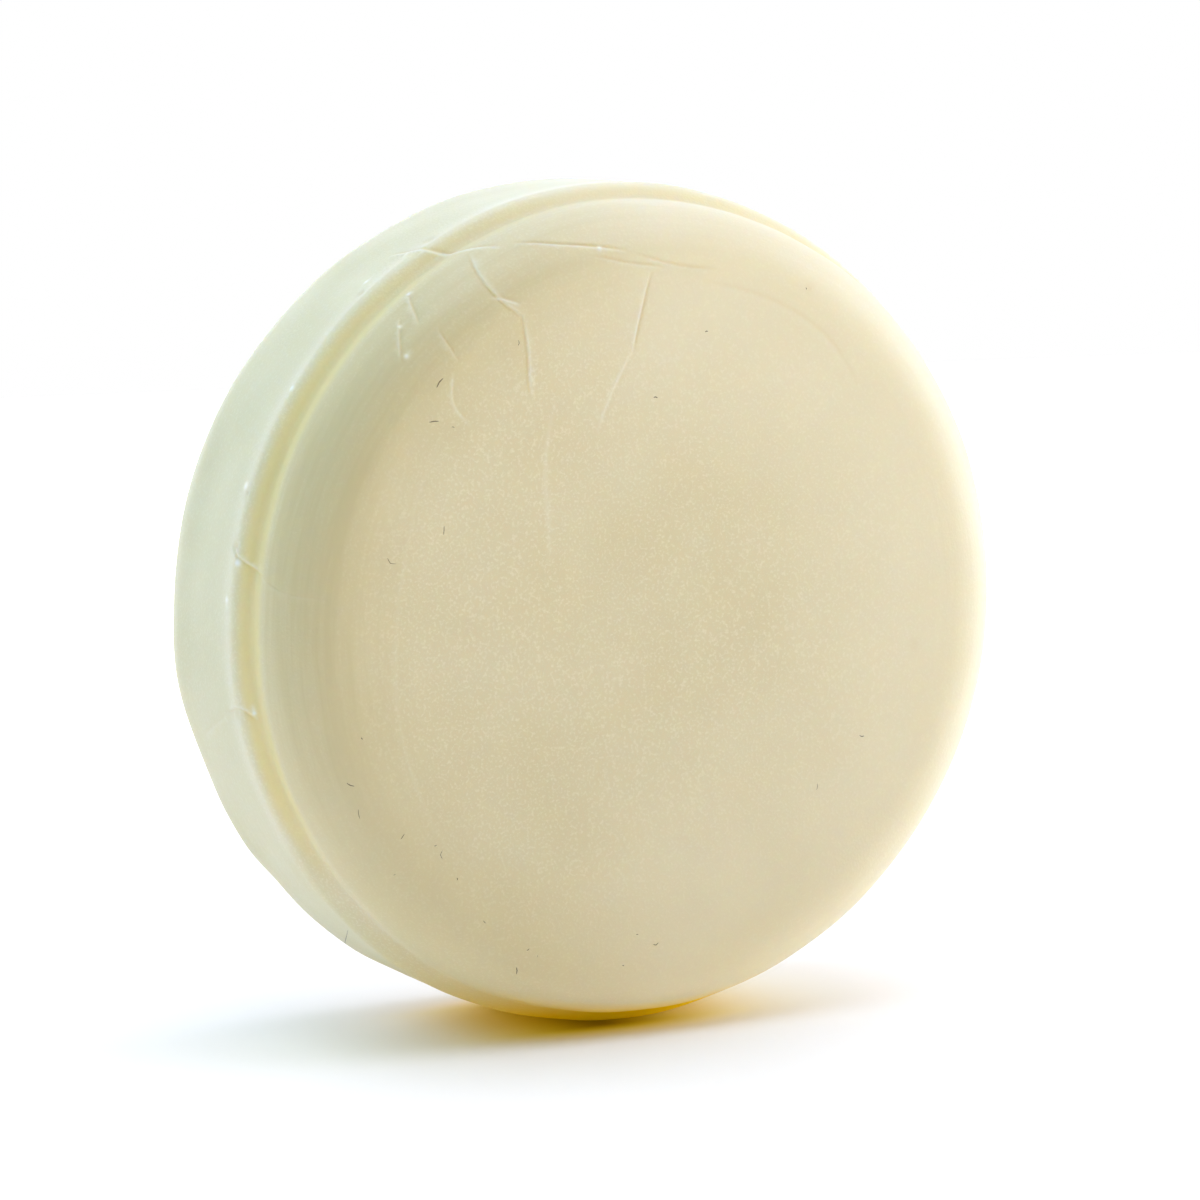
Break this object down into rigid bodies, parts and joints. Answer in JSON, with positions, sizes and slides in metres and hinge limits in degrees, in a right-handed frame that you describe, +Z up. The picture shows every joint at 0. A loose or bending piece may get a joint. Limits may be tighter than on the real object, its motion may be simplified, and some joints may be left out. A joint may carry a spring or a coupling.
{
  "type": "shaving soap puck",
  "caption": "Round puck of hard shaving soap with rounded shoulders and a groove around its side, for lathering with a wet brush in a mug or bowl.",
  "frame": {"origin": "under the middle of the puck, on the surface that its rim stands on", "axes": "+Z up; the puck's axis lies along Y, with the narrower front face towards -Y and the wider back face towards +Y"},
  "size_m": [0.064, 0.0222, 0.064],
  "materials": {
    "soap": "waxy satin"
  },
  "bodies": {
    "root": {"soap_puck": "soap"}
  },
  "joints": []
}
